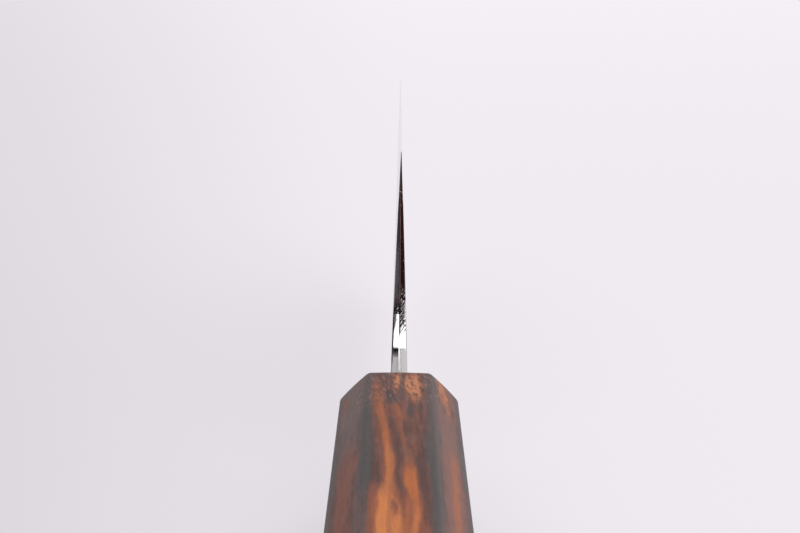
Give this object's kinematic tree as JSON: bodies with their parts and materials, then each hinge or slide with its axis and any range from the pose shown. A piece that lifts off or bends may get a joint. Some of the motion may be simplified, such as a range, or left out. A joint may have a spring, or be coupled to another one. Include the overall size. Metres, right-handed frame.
{
  "type": "bunka knife",
  "caption": "Kitchen knife with a laminated clipped-tip blade whose hidden tang is bedded in an octagonal wooden handle.",
  "frame": {"origin": "on the ground under the middle of the knife's length, with the knife standing edge up as in the picture", "axes": "+Y from the handle's butt to the tip, +Z from the spine to the cutting edge, +X across the blade, to the right of someone who looks along the knife from the butt"},
  "size_m": [0.0218, 0.3124, 0.0573],
  "materials": {
    "core_steel": "hard core steel, ground bright with a fine grain towards the edge",
    "cladding_steel": "softer cladding steel, satin on the sides and polished on the spine and choil",
    "handle_wood": "figured grey-brown wood with orange streaks, oiled to a satin sheen",
    "bedding_resin": "dark bedding resin, set flush inside the mouth"
  },
  "bodies": {
    "root": {"blade_core": "core_steel", "cladding_left": "cladding_steel", "cladding_right": "cladding_steel", "handle": "handle_wood", "tang_bedding": "bedding_resin"}
  },
  "joints": []
}
